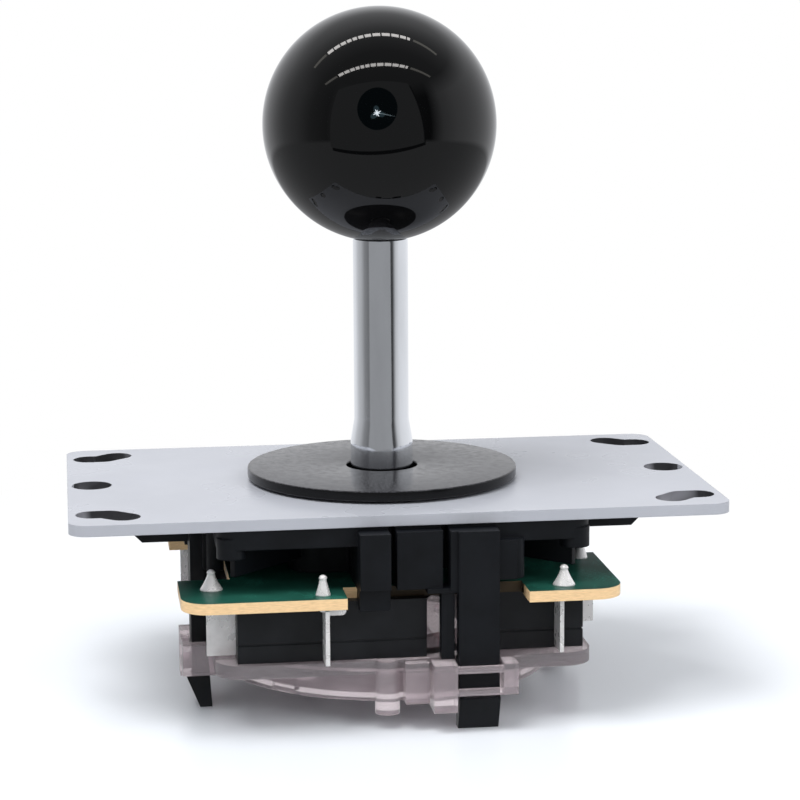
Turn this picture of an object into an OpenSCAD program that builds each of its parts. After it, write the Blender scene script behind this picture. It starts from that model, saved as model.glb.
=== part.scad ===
// Ball-top arcade joystick lever: a flat mounting plate, a moulded housing with four snap arms,
// a sprung lever in a ball socket, four microswitches on a circuit board and a clear gate.
// The origin is on the lever's axis, on the plate's top face. X runs along the plate, Z up.

/* [Mounting plate] */
// Length of the plate along X
plate_l = 95.5; // [90:0.5:120]
// Width of the plate along Y
plate_w = 55; // [54:0.5:60]
// Thickness of the plate
plate_t = 1.6; // [1.2:0.1:2]
// Radius of the plate's corners
plate_corner_r = 2.8; // [1:0.1:5]
// Diameter of the hole that the lever passes through
plate_hole_d = 21; // [19:0.5:22]
// Diameter of the two end holes
end_hole_d = 6; // [4:0.1:7]
// Distance of the end holes' centres from the plate's ends
end_hole_inset = 3.65; // [3.6:0.05:5]
// Width of the bent corner slots
slot_w = 4.8; // [4:0.1:5]
// Distance of the slots' bends from the plate's ends
slot_inset_x = 5.55; // [5:0.05:7]
// Distance of the slots' bends from the plate's long edges
slot_inset_y = 7.2; // [7:0.1:8.5]
// Length of the slots' arm along X
slot_arm = 2.1; // [1:0.1:2.5]
// Length of the slots' slanted arm
slot_slant = 3.1; // [1:0.1:3.5]
// Angle of the slanted arm
slot_slant_deg = 42; // [30:1:50]

/* [Plate screws] */
// Distance between the screws along X and along Y
screw_span = 22.4; // [22:0.1:23]
// Diameter of the screws' thread
screw_d = 2.6; // [2:0.1:3]
// Diameter of the countersunk heads
screw_head_d = 5.2; // [4.6:0.1:5.4]
// Length of a screw with its head
screw_l = 8; // [6:0.5:9]

/* [Lever] */
// Diameter of the ball top
ball_d = 35; // [30:0.5:40]
// Height of the ball's centre over the plate
ball_z = 53.6; // [50:0.2:70]
// Diameter of the shaft below the ball
shaft_d = 8.3; // [8:0.1:9]
// How much thicker the shaft's foot is
foot_extra = 1.2; // [0.8:0.1:1.4]
// Height where the foot starts to narrow
foot_z = 5.5; // [4:0.1:7]
// Height where the shaft has its thin diameter
neck_z = 9; // [8:0.1:12]
// Diameter of the stem below the plate
stem_d = 6; // [5.5:0.1:6.2]
// Diameter of the stud that the ball screws onto
stud_d = 6; // [5:0.1:6.5]
// Length of the stud
stud_l = 12; // [8:0.5:14]
// Height of the pivot's centre over the board's top face
pivot_rise = 4; // [3.8:0.1:4.2]
// Diameter of the pivot ball
pivot_d = 15; // [14.6:0.1:15.2]
// Largest tilt of the lever
tilt_deg = 11; // [8:0.5:11.5]

/* [Dust washer] */
// Diameter of the washer
washer_d = 41; // [38:0.5:44]
// Thickness of the washer
washer_t = 1.5; // [1:0.1:1.6]
// Play of the washer on the shaft's foot, on the diameter
washer_play = 1.3; // [1.2:0.1:1.6]
// Diameter of the thin slip disc under the washer
slip_d = 34; // [30:0.5:36]
// Thickness of the slip disc
slip_t = 0.4; // [0.3:0.1:0.5]
// How much wider than the washer's hole the slip disc's hole is
slip_extra = 3.2; // [3:0.1:5]

/* [Housing] */
// Distance of the square flange's edges from the plate's long edges
flange_inset = 0.5; // [0.3:0.1:1]
// Thickness of the flange
flange_t = 2.9; // [2.5:0.1:3.2]
// Radius of the bosses that the plate screws go into
boss_r = 3.6; // [3:0.1:3.8]
// Wall between the bosses and the box's outer faces
box_margin = 0.6; // [0.4:0.1:2]
// Wall of the box
box_wall = 2; // [1.5:0.1:2.5]
// Radius of the box's corners
box_corner_r = 4; // [3:0.5:5]
// Radius of the flange's corners
flange_corner_r = 3; // [1:0.5:4]
// Gap between the two ears and the end holes
ear_gap = 2.2; // [1:0.1:6]
// Half width of the ears
ear_half = 9; // [6:0.1:10]
// Depth of the ears under the plate's top face
ear_depth = 7; // [5:0.1:8]
// Chamfer at the ears' tips
ear_chamfer = 1.9; // [0.5:0.1:2.5]
// Distance of the snap arms' outer faces from the switches
arm_reach = 3.9; // [3.7:0.1:4.2]
// Thickness of the snap arms
arm_t = 2.2; // [1.8:0.1:2.4]
// Width of the snap arms
arm_w = 5.9; // [5.4:0.1:6]
// Offset of the snap arms' centres to one side
arm_offset = 10; // [9.9:0.1:10.2]
// Width of the posts left of the arms
post_w = 4.4; // [3.6:0.1:4.6]
// Width of the panels between the posts and the arms
panel_w = 6.6; // [5.6:0.1:6.8]
// Width of the gaps beside the panels
panel_gap = 1; // [0.6:0.1:1.2]
// Length of the arms' tips below the gate's lower bars
arm_tip = 5.5; // [4.4:0.1:6]
// Outward step of the hooks
hook_step = 0.9; // [0.5:0.1:1.1]

/* [Board and switches] */
// Margin of the circuit board outside the switches
board_margin = 4.8; // [4.7:0.1:6]
// Extra margin of the board on its left side
board_left_extra = 1.2; // [0:0.1:1.5]
// Radius of the board's corners
board_corner_r = 4; // [2:0.5:5]
// Depth of the board's top face under the plate's top face
board_depth = 11; // [10.8:0.1:11.2]
// Thickness of the board
board_t = 1.6; // [1:0.1:1.8]
// Length of a switch
switch_l = 27.3; // [26.5:0.1:27.6]
// Depth of a switch from its terminals to its button face
switch_w = 15.9; // [15.4:0.1:16]
// Height of a switch
switch_h = 8.7; // [8.2:0.1:9]
// Width of a switch's button
button_w = 3; // [2:0.1:4]
// Height of a switch's button
button_h = 2; // [1.4:0.1:2]
// How far a switch's button stands out
button_reach = 2.2; // [2.1:0.05:2.4]
// Gap between the button's tip and the actuator at rest
button_gap = 0.4; // [0.35:0.05:0.5]
// Width of a terminal blade
blade_w = 4.2; // [3.4:0.1:4.4]
// Thickness of a terminal blade
blade_t = 0.6; // [0.4:0.1:0.8]
// Radius of the solder cones at the switches' ends
end_cone_r = 1.7; // [1.2:0.1:2]
// Radius of the solder cones at the switches' long sides
com_cone_r = 1.15; // [1:0.05:1.3]
// Height of the solder cones
cone_h = 2.3; // [1.8:0.1:2.5]
// Number of pins in the connector
pin_count = 5; // [3:1:5]
// Distance between the connector's pins
pin_pitch = 2.5; // [2:0.1:2.5]

/* [Spring and actuator] */
// Diameter of the actuator
actuator_d = 15.6; // [15:0.1:15.8]
// Wall of the actuator's cup
actuator_wall = 1.3; // [1:0.1:1.4]
// Wire diameter of the centering spring
wire_d = 1.1; // [0.8:0.1:1.1]
// Mean diameter of the centering spring
coil_d = 11.1; // [11:0.1:11.3]
// Turns of the centering spring
coil_turns = 5; // [3:1:6]
// Thickness of the retaining clip
clip_t = 0.8; // [0.6:0.1:0.9]
// Diameter of the retaining clip
clip_d = 10; // [9:0.1:11]

/* [Gate] */
// Distance of the gate's square plate inside the snap arms' outer faces
gate_inset = 2.8; // [2.6:0.1:3.2]
// Thickness of the gate's square plate
gate_t = 2; // [1.6:0.1:2.2]
// Height of the round skirt with the square plate
skirt_h = 6.6; // [6.3:0.1:7.2]
// Wall of the skirt
skirt_wall = 2.2; // [1.8:0.1:3]
// Width of the post left of each snap arm
left_post_w = 3.4; // [2:0.1:3.6]
// Width of the post right of each snap arm
right_post_w = 2.1; // [1.5:0.1:3]
// Radius of the square plate's corners
gate_corner_r = 4; // [2:0.5:5]

/* [Hidden] */

// The four sides are turns of the front one about the lever's axis
FRONT = 0;
RIGHT = 90;
BACK = 180;
LEFT = 270;

// Cuts run this far past the faces they open
past = 1;
// Running clearance of turned pieces
fit = 0.1;
round_fn = 96;
small_fn = 40;

// Levels from the board down
flange_z = -plate_t - flange_t;
board_z = -board_depth;
board_low_z = board_z - board_t;
switch_z = board_low_z - switch_h;
button_z = board_low_z - switch_h / 2;

// Distances from the lever's axis outwards
actuator_r = actuator_d / 2;
button_face = actuator_r + button_gap + button_reach;
switch_out = button_face + switch_w;
arm_out = switch_out + arm_reach;
board_half = switch_out + board_margin;
flange_half = plate_w / 2 - flange_inset;
box_half = screw_span / 2 + boss_r + box_margin;
end_hole_x = plate_l / 2 - end_hole_inset;
ear_out = end_hole_x - end_hole_d / 2 - ear_gap;

// Places along the front side
arm_left = arm_offset - arm_w / 2;
arm_right = arm_offset + arm_w / 2;
rim_w = 1.1;
rim_left = arm_left - rim_w;
panel_right = rim_left - panel_gap;
panel_left = panel_right - panel_w;
post_right = panel_left - panel_gap;
post_left = post_right - post_w;
leg_left = panel_right - 0.3;
leg_right = leg_left + 1.9;
switch_left = arm_t - arm_out + 3.7;
switch_right = switch_left + switch_l;
notch_left = post_left - 1.95;
notch_right = arm_right + 4.15;
notch_in = switch_out - 1.6;

// Pivot, socket and lever
pivot_z = board_z + pivot_rise;
shoulder_z = pivot_z + 5.2;
pivot_low = 4.8;
socket_r = pivot_d / 2 + fit;
socket_out_r = socket_r + 1.7;
socket_gap = 1;
socket_floor_z = pivot_z - pivot_low - 0.6;
lip_r = socket_r - 2.7;
shaft_foot_d = shaft_d + foot_extra;
washer_hole_d = shaft_foot_d + washer_play;
slip_hole_d = washer_hole_d + slip_extra;
// The ball sits on the shaft's end with a small flat
ball_flat_r = shaft_d / 2 + 0.45;
ball_seat_z = ball_z - sqrt(pow(ball_d / 2, 2) - pow(ball_flat_r, 2));

// Actuator, clip and spring
actuator_top_z = button_z + button_h / 2 + 0.75;
actuator_step_z = button_z - button_h / 2 - 0.4;
actuator_foot_r = actuator_r - 1;
actuator_low_z = switch_z - 0.7;
actuator_floor_t = 1.5;
clip_z = actuator_low_z;
spring_gap = 0.05;
spring_top_z = socket_floor_z - spring_gap;
spring_low_z = actuator_low_z + actuator_floor_t + spring_gap;
wire_sides = 8;
turn_steps = 24;

// Gate: the bars and hooks of the loops, the skirt, and the restrictor that stops the stem
gate_z = switch_z;
gate_low_z = gate_z - gate_t;
gate_half = arm_out - gate_inset;
skirt_r = gate_half - 1.8;
skirt_in_r = skirt_r - skirt_wall;
skirt_low_z = gate_z - skirt_h;
stem_end_z = skirt_low_z + 0.9;
disc_low_z = skirt_low_z + 0.75;
guide_half = (pivot_z - disc_low_z) * tan(tilt_deg) + stem_d / 2 / cos(tilt_deg) + 0.13;
bar_h = 0.8;
bar_t = 1.3;
bar_in = arm_out + 0.15;
bar_low_z = gate_z - 4.6;
bar_step = 3.3;
hook_z = bar_low_z - 0.1;
arm_gap = 0.4;
left_post_h = 7;
stub_h = 6;
peg_d = 3.6;
arm_top_z = -plate_t - 0.6;

// Terminal pins and the blades beside them, drawn for the front switch
pin_d = 1;
com_gap = 5.15;
com_out = 2.15;
end_out = 3.4;
end_step = 5.7;
com_x = post_left - com_gap;
com_y = -switch_out - com_out;
end_x = switch_left - end_out;
end_y = com_y + end_step;
pin_to_blade = 0.4;

// The plug's socket stands under the board's back edge and opens to the back
header_l = pin_count * pin_pitch + 2.4;
header_x = header_l / 2 - com_x + 1.35;
header_in = switch_out + 0.3;
header_d = 7.2;
header_h = switch_h - 2.7;
header_wall = 0.9;
header_key_w = 1.6;
header_key_d = 3;
pin_side = 0.64;
header_floor = 2.6;
pin_row_y = header_in + 1.4;
pin_low_z = board_low_z - header_h / 2;

// A rectangle with round corners
module round_rect(l, w, r) {
    square([l - 2 * r, w], center = true);
    square([l, w - 2 * r], center = true);
    for (x = [-1, 1], y = [-1, 1])
        translate([x * (l / 2 - r), y * (w / 2 - r)]) circle(r = r, $fn = small_fn);
}

// A straight slot from the origin along X
module slot(l, w) {
    translate([0, -w / 2]) square([l, w]);
    circle(d = w, $fn = small_fn);
    translate([l, 0]) circle(d = w, $fn = small_fn);
}

// A box from its lowest corner to its highest corner
module block(low, high) {
    translate(low) cube(high - low);
}

// What follows is repeated on all four sides
module on_four_sides() {
    for (a = [FRONT, RIGHT, BACK, LEFT]) rotate(a) children();
}

module at_screws() {
    for (x = [-1, 1], y = [-1, 1]) translate([x * screw_span / 2, y * screw_span / 2, 0]) children();
}

module ball_top() {
    color([0.02, 0.02, 0.025]) difference() {
        translate([0, 0, ball_z]) sphere(d = ball_d, $fn = round_fn);
        translate([0, 0, ball_seat_z - ball_d]) cylinder(d = ball_d, h = ball_d, $fn = round_fn);
        translate([0, 0, ball_seat_z - past]) cylinder(d = stud_d, h = past + stud_l + fit, $fn = small_fn);
    }
}

module shaft() {
    groove_r = stem_d / 2 - 0.7;
    color([0.8, 0.81, 0.83]) rotate_extrude($fn = round_fn) polygon([
        [0, stem_end_z], [stem_d / 2 - 0.5, stem_end_z], [stem_d / 2, stem_end_z + 0.5],
        [stem_d / 2, clip_z - clip_t], [groove_r, clip_z - clip_t], [groove_r, clip_z], [stem_d / 2, clip_z],
        [stem_d / 2, shoulder_z], [shaft_foot_d / 2, shoulder_z], [shaft_foot_d / 2, foot_z],
        [shaft_d / 2, neck_z], [shaft_d / 2, ball_seat_z], [stud_d / 2, ball_seat_z],
        [stud_d / 2, ball_seat_z + stud_l - 0.5], [stud_d / 2 - 0.5, ball_seat_z + stud_l],
        [0, ball_seat_z + stud_l]
    ]);
}

module pivot_ball() {
    color([0.93, 0.92, 0.88]) difference() {
        translate([0, 0, pivot_z]) sphere(d = pivot_d, $fn = round_fn);
        block([-pivot_d, -pivot_d, shoulder_z], [pivot_d, pivot_d, shoulder_z + pivot_d]);
        block([-pivot_d, -pivot_d, pivot_z - pivot_d], [pivot_d, pivot_d, pivot_z - pivot_low]);
        translate([0, 0, pivot_z - pivot_d]) cylinder(d = stem_d, h = 2 * pivot_d, $fn = small_fn);
    }
}

// A cup round the stem: the spring stands in it and its wall pushes the switches' buttons
module actuator() {
    cup_r = actuator_r - actuator_wall;
    floor_z = actuator_low_z + actuator_floor_t;
    color([0.1, 0.1, 0.11]) rotate_extrude($fn = round_fn) polygon([
        [stem_d / 2, actuator_low_z], [actuator_foot_r, actuator_low_z], [actuator_foot_r, actuator_step_z],
        [actuator_r, actuator_step_z], [actuator_r, actuator_top_z + 0.4], [actuator_r - 0.4, actuator_top_z],
        [cup_r, actuator_top_z], [cup_r, actuator_step_z], [actuator_foot_r - 0.5, floor_z],
        [stem_d / 2, floor_z]
    ]);
}

module retaining_clip() {
    color([0.6, 0.61, 0.63]) translate([0, 0, clip_z - clip_t]) difference() {
        cylinder(d = clip_d, h = clip_t, $fn = small_fn);
        translate([0, 0, -past]) cylinder(r = stem_d / 2 - 0.7, h = clip_t + 2 * past, $fn = small_fn);
        block([-stem_d / 2 + 0.9, -clip_d, -past], [stem_d / 2 - 0.9, 0, clip_t + past]);
    }
}

// The spring's wire follows a helix with a closed turn at each end
function rise(t) = let (n = coil_turns + 2) t < 1 ? t * wire_d : t > n - 1
    ? spring_top_z - spring_low_z - wire_d * (n - t + 1)
    : wire_d + (t - 1) / (n - 2) * (spring_top_z - spring_low_z - 3 * wire_d);
function wire_ring(t) = [
    for (k = [0 : wire_sides - 1]) let (a = 360 * k / wire_sides, r = coil_d / 2 + wire_d / 2 * cos(a))
        [r * cos(360 * t), r * sin(360 * t), spring_low_z + wire_d / 2 + rise(t) + wire_d / 2 * sin(a)]
];
module centering_spring() {
    steps = (coil_turns + 2) * turn_steps;
    color([0.7, 0.71, 0.73]) polyhedron(
        points = [for (i = [0 : steps]) each wire_ring(i / turn_steps)],
        faces = [
            [for (k = [0 : wire_sides - 1]) k],
            for (i = [0 : steps - 1], k = [0 : wire_sides - 1])
                let (a = i * wire_sides, b = a + wire_sides, n = (k + 1) % wire_sides)
                    [a + k, b + k, b + n, a + n],
            [for (k = [wire_sides - 1 : -1 : 0]) steps * wire_sides + k]
        ], convexity = 8);
}

module dust_washer() {
    edge = 0.3;
    color([0.22, 0.22, 0.24]) rotate_extrude($fn = round_fn) polygon([
        [washer_hole_d / 2, slip_t], [washer_d / 2 - edge, slip_t], [washer_d / 2, slip_t + edge],
        [washer_d / 2, slip_t + washer_t - edge], [washer_d / 2 - edge, slip_t + washer_t],
        [washer_hole_d / 2, slip_t + washer_t]
    ]);
}

module slip_disc() {
    color([0.16, 0.16, 0.17]) difference() {
        cylinder(d = slip_d, h = slip_t, $fn = round_fn);
        translate([0, 0, -past]) cylinder(d = slip_hole_d, h = slip_t + 2 * past, $fn = round_fn);
    }
}

// One bent corner slot, in the corner at +X and +Y
module corner_slot() {
    translate([plate_l / 2 - slot_inset_x, plate_w / 2 - slot_inset_y]) {
        slot(slot_arm, slot_w);
        rotate(180 - slot_slant_deg) slot(slot_slant, slot_w);
    }
}

module mounting_plate() {
    head_t = (screw_head_d - screw_d) / 2;
    color([0.8, 0.82, 0.86]) difference() {
        translate([0, 0, -plate_t]) linear_extrude(plate_t) difference() {
            round_rect(plate_l, plate_w, plate_corner_r);
            for (x = [0, 1], y = [0, 1]) mirror([x, 0]) mirror([0, y]) corner_slot();
        }
        for (x = [-1, 1]) translate([x * end_hole_x, 0, -plate_t - past])
            cylinder(d = end_hole_d, h = plate_t + 2 * past, $fn = round_fn);
        translate([0, 0, -plate_t - past]) cylinder(d = plate_hole_d, h = plate_t + 2 * past, $fn = round_fn);
        at_screws() {
            translate([0, 0, -plate_t - past])
                cylinder(d = screw_d + 2 * fit, h = plate_t + 2 * past, $fn = small_fn);
            translate([0, 0, -head_t]) cylinder(d1 = screw_d, d2 = screw_head_d, h = head_t, $fn = small_fn);
        }
    }
}

module plate_screws() {
    head_t = (screw_head_d - screw_d) / 2;
    recess_r = screw_head_d / 2 - 1.5;
    color([0.75, 0.76, 0.78]) at_screws() difference() {
        union() {
            translate([0, 0, -head_t]) cylinder(d1 = screw_d, d2 = screw_head_d, h = head_t, $fn = small_fn);
            translate([0, 0, -screw_l]) cylinder(d = screw_d, h = screw_l - head_t, $fn = small_fn);
        }
        for (a = [0, 90]) rotate(a) block([-recess_r, -0.35, -0.8], [recess_r, 0.35, past]);
    }
}

// One snap arm in profile: its distance from the axis, and its height
module arm_profile() {
    arm_low_z = bar_low_z - arm_tip;
    polygon([
        [arm_out, arm_top_z], [arm_out, hook_z], [arm_out + hook_step, hook_z - 0.5],
        [arm_out - 1.1, arm_low_z], [arm_out - 2.9, arm_low_z],
        [arm_out - arm_t, gate_z + 2.3], [arm_out - arm_t, arm_top_z]
    ]);
}

// What the housing has on each side, drawn for the front and named from left to right
module housing_side() {
    root_y = -flange_half + 0.5;
    root_z = arm_top_z - flange_t;
    stop_r = 1.3;
    stop_x = notch_right - stop_r;
    stop_z = board_z + 1.2;
    corner_r = 2.1;
    // The post that ends beside the board, its upper half proud, and a wall from it to the box
    block([post_left, -arm_out, board_z + 0.7], [post_right, root_y, arm_top_z]);
    block([post_left, -arm_out + 1, board_z - 2.5], [post_right, -switch_out - 0.3, arm_top_z]);
    block([post_left, root_y - 0.2, board_z], [post_right, -box_half + 0.5, arm_top_z]);
    // The panel, the ledge under it and the leg beside the switch's end
    block([panel_left, -arm_out + 1.2, board_z + 0.4], [panel_right, root_y, arm_top_z]);
    block([leg_left - 2, -arm_out + 0.7, board_z - 0.2], [arm_left + 0.1, root_y, board_z + 0.5]);
    block([leg_left, -arm_out + 0.9, switch_z + 0.3], [leg_right, -arm_out + 2.9, board_z]);
    // The thin rim beside the arm, the arm, and the block right of it with a round end
    block([rim_left, -arm_out + 0.5, board_z], [arm_left + 0.1, root_y, arm_top_z]);
    translate([arm_right, 0, 0]) rotate([90, 0, -90]) linear_extrude(arm_w) arm_profile();
    block([arm_left, -arm_out + 0.1, root_z], [arm_right, root_y, arm_top_z]);
    block([arm_right - 0.1, -arm_out + 1.8, stop_z], [stop_x, root_y + stop_r - 0.2, flange_z + 0.5]);
    translate([stop_x, root_y - 0.2, stop_z])
        cylinder(r = stop_r, h = flange_z + 0.5 - stop_z, $fn = small_fn);
    // A boss at the flange's corner
    translate([corner_r - flange_half, corner_r - flange_half, flange_z - 1.4])
        cylinder(r = corner_r, h = 3, $fn = small_fn);
}

// The ears in profile, from the box outwards
module ear_profile() {
    polygon([
        [box_half - 1, -plate_t], [ear_out, -plate_t], [ear_out, -ear_depth + ear_chamfer],
        [ear_out - ear_chamfer, -ear_depth], [box_half - 1, -ear_depth]
    ]);
}

module housing() {
    rib_z = board_z + 2.2;
    color([0.12, 0.125, 0.14]) difference() {
        union() {
            translate([0, 0, flange_z]) linear_extrude(flange_t) difference() {
                round_rect(2 * flange_half, 2 * flange_half, flange_corner_r);
                on_four_sides() for (x = [[post_right, panel_left], [panel_right, rim_left]])
                    translate([x[0], -flange_half - past]) square([x[1] - x[0], 3 + past]);
            }
            for (x = [0, 1]) mirror([x, 0, 0]) translate([0, ear_half, 0]) rotate([90, 0, 0])
                linear_extrude(2 * ear_half) ear_profile();
            translate([0, 0, board_z]) linear_extrude(board_depth - plate_t - past) difference() {
                round_rect(2 * box_half, 2 * box_half, box_corner_r);
                round_rect(2 * (box_half - box_wall), 2 * (box_half - box_wall), box_corner_r - box_wall);
            }
            translate([0, 0, socket_floor_z])
                cylinder(r = socket_out_r, h = -plate_t - socket_floor_z, $fn = round_fn);
            for (a = [45, 135]) rotate(a)
                block([-flange_half - 8, -0.4, rib_z], [flange_half + 8, 0.4, flange_z + past]);
            at_screws() translate([0, 0, board_z])
                cylinder(r = boss_r, h = board_depth - plate_t, $fn = small_fn);
            on_four_sides() housing_side();
        }
        translate([0, 0, pivot_z]) sphere(r = socket_r, $fn = round_fn);
        translate([0, 0, pivot_z]) cylinder(r = socket_r, h = -pivot_z, $fn = round_fn);
        translate([0, 0, socket_floor_z - past]) cylinder(r = lip_r, h = -pivot_z, $fn = round_fn);
        at_screws() translate([0, 0, -screw_l - 0.5]) cylinder(d = screw_d, h = screw_l, $fn = small_fn);
    }
}

module at_com_pin() {
    translate([com_x, com_y, 0]) children();
}

module at_end_pin() {
    translate([end_x, end_y, 0]) children();
}

module circuit_board() {
    color([0.03, 0.22, 0.14]) translate([0, 0, board_low_z]) linear_extrude(board_t) difference() {
        translate([-board_left_extra / 2, 0])
            round_rect(2 * board_half + board_left_extra, 2 * board_half, board_corner_r);
        circle(r = socket_out_r + socket_gap, $fn = round_fn);
        on_four_sides() {
            translate([notch_left, -board_half - past - board_left_extra])
                square([notch_right - notch_left, board_half - notch_in + past + board_left_extra]);
            at_com_pin() circle(d = pin_d, $fn = small_fn);
            at_end_pin() circle(d = pin_d, $fn = small_fn);
        }
        at_connector_pins() square(pin_side, center = true);
    }
}

// A solder cone stands round each pin on the board's top face
module solder_cone(r, h, hole_d) {
    difference() {
        union() {
            cylinder(r1 = r, r2 = hole_d / 2 + 0.15, h = h, $fn = small_fn);
            translate([0, 0, h]) sphere(d = hole_d + 0.3, $fn = small_fn);
        }
        translate([0, 0, -past]) cylinder(d = hole_d, h = h + past, $fn = small_fn);
    }
}

module solder_joints() {
    color([0.85, 0.86, 0.87]) translate([0, 0, board_z]) {
        on_four_sides() at_com_pin() solder_cone(com_cone_r, cone_h, pin_d);
        on_four_sides() at_end_pin() solder_cone(end_cone_r, cone_h, pin_d);
        at_connector_pins() solder_cone(pin_side + 0.3, 0.9, pin_side * sqrt(2));
    }
}

// One switch's case, drawn for the front, with its button's slot, seam and two mounting holes
module switch_case() {
    hole_d = 3.1;
    hole_in = 2.8;
    hole_span_y = 10.3;
    seam = 0.15;
    seam_z = switch_z + 2.6;
    color([0.13, 0.13, 0.15]) difference() {
        block([switch_left, -switch_out, switch_z], [switch_right, -button_face, board_low_z]);
        block([-button_w / 2 - fit, -button_face - 4.6, button_z - button_h / 2 - fit],
            [button_w / 2 + fit, -button_face + past, button_z + button_h / 2 + fit]);
        block([switch_left - past, -switch_out - past, seam_z],
            [switch_right + past, -switch_out + seam, seam_z + 2 * seam]);
        block([switch_left - past, -switch_out - past, seam_z],
            [switch_left + seam, -button_face + past, seam_z + 2 * seam]);
        for (p = [[switch_left + hole_in, hole_in - switch_out],
            [switch_right - hole_in, hole_in + hole_span_y - switch_out]])
            translate([p[0], p[1], switch_z - past])
                cylinder(d = hole_d, h = switch_h + 2 * past, $fn = small_fn);
    }
}

// One switch's button, drawn for the front: a bar with a round nose towards the axis
module switch_button() {
    tip = actuator_r + button_gap;
    nose_r = button_h / 2;
    color([0.75, 0.15, 0.12]) {
        block([-button_w / 2, -button_face - 2.5, button_z - nose_r],
            [button_w / 2, -tip - nose_r, button_z + nose_r]);
        translate([-button_w / 2, -tip - nose_r, button_z]) rotate([0, 90, 0])
            cylinder(r = nose_r, h = button_w, $fn = small_fn);
    }
}

// One switch's two terminals, drawn for the front: a blade on edge with a pin through the board,
// and a bent lug beside the blade of the long side
module terminals() {
    blade_top = board_low_z - 0.3;
    blade_low = switch_z + 0.4;
    lug_h = 1.2;
    color([0.8, 0.8, 0.8]) {
        block([com_x + pin_to_blade - blade_t / 2, -switch_out - blade_w, blade_low],
            [com_x + pin_to_blade + blade_t / 2, -switch_out, blade_top]);
        block([switch_left - blade_w, end_y + pin_to_blade - blade_t / 2, blade_low],
            [switch_left, end_y + pin_to_blade + blade_t / 2, blade_top]);
        at_com_pin() terminal_pin(blade_top);
        at_end_pin() terminal_pin(blade_top);
        block([com_x + pin_to_blade, -switch_out - 2, blade_top - lug_h],
            [com_x + 2.7, -switch_out, blade_top]);
        translate([com_x + 2.7, -switch_out, blade_top - lug_h / 2]) rotate([90, 0, 0])
            cylinder(d = lug_h, h = 2, $fn = small_fn);
    }
}

module terminal_pin(blade_top) {
    translate([0, 0, blade_top - 0.5])
        cylinder(d = pin_d, h = board_z + cone_h - blade_top + 0.5, $fn = small_fn);
}

module at_connector_pins() {
    for (i = [0 : pin_count - 1])
        translate([header_x + (i - (pin_count - 1) / 2) * pin_pitch, pin_row_y, 0]) children();
}

module pin_bend() {
    half = pin_side / 2;
    block([-half, -half, pin_low_z - half], [half, half, board_z + 0.9]);
    block([-half, -half, pin_low_z - half], [half, header_in + header_d - 1.2 - pin_row_y, pin_low_z + half]);
}

// The plug's socket, open to the back, with two key slots from above to below
module connector_header() {
    left = header_x - header_l / 2;
    right = header_x + header_l / 2;
    out = header_in + header_d;
    low_z = board_low_z - header_h;
    key = header_key_w / 2;
    color([0.92, 0.9, 0.84]) difference() {
        block([left, header_in, low_z], [right, out, board_low_z]);
        block([left + header_wall, header_in + header_floor, low_z + header_wall],
            [right - header_wall, out + past, board_low_z - header_wall]);
        for (x = [-1, 1]) translate([header_x + x * header_l / 3, 0, 0])
            block([-key, out - header_key_d, low_z - past], [key, out + past, low_z + header_h + past]);
        at_connector_pins() pin_bend();
    }
}

module connector_pins() {
    color([0.8, 0.78, 0.7]) at_connector_pins() pin_bend();
}

// One loop of the gate, drawn for the front: a snap arm passes between two posts and behind two bars,
// and a stub stands left of them
module gate_loop() {
    left = arm_left - arm_gap;
    right = arm_right + arm_gap;
    root = gate_half - 1;
    block([left - left_post_w, -bar_in - bar_t, gate_z - left_post_h], [left, -root, gate_z]);
    block([right, -bar_in - bar_t, bar_low_z], [right + right_post_w, -root, gate_z]);
    block([left - 2 * left_post_w - arm_gap, -bar_in + 0.6, gate_z - stub_h],
        [left - left_post_w - arm_gap, -root, gate_z]);
    for (z = [bar_low_z, bar_low_z + bar_step])
        block([left - past, -bar_in - bar_t, z], [right + past, -bar_in, z + bar_h]);
}

module gate_base() {
    hole_r = actuator_r + 7.2;
    lug_r = skirt_in_r - 1.2;
    peg_low_z = skirt_low_z - 1.3;
    color([0.85, 0.8, 0.81, 0.45]) {
        difference() {
            union() {
                translate([0, 0, gate_low_z]) linear_extrude(gate_t)
                    round_rect(2 * gate_half, 2 * gate_half, gate_corner_r);
                translate([0, 0, skirt_low_z]) cylinder(r = skirt_r, h = skirt_h, $fn = round_fn);
            }
            translate([0, 0, skirt_low_z - past])
                cylinder(r = skirt_in_r, h = skirt_h - gate_t + past, $fn = round_fn);
            translate([0, 0, gate_low_z - past]) cylinder(r = hole_r, h = gate_t + 2 * past, $fn = round_fn);
            on_four_sides() block([arm_left - arm_gap, -gate_half - past, gate_low_z - past],
                [arm_right + arm_gap, -arm_out + arm_t + 1.4, gate_z + past]);
        }
        on_four_sides() gate_loop();
        for (a = [45 : 90 : 315]) rotate(a)
            block([lug_r, -2, skirt_low_z], [skirt_in_r + 0.2, 2, disc_low_z - 0.05]);
        on_four_sides() translate([-0.8 * peg_d, -gate_half + 0.6, peg_low_z])
            cylinder(d = peg_d, h = gate_z - peg_low_z, $fn = small_fn);
    }
}

// The plate that shapes the lever's travel, held in the skirt by four lugs
module gate_restrictor() {
    disc_r = skirt_in_r - fit;
    well_z = gate_low_z - 0.9;
    color([0.86, 0.84, 0.85, 0.45]) difference() {
        translate([0, 0, disc_low_z]) cylinder(r = disc_r, h = gate_low_z - disc_low_z, $fn = round_fn);
        translate([0, 0, well_z]) cylinder(r = disc_r - 3, h = 5, $fn = round_fn);
        block([-guide_half, -guide_half, disc_low_z - past], [guide_half, guide_half, gate_z]);
        for (a = [45 : 90 : 315]) rotate(a) translate([disc_r - 6.5, 0, disc_low_z - past])
            cylinder(d = 4, h = 8, $fn = small_fn);
    }
}

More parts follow.
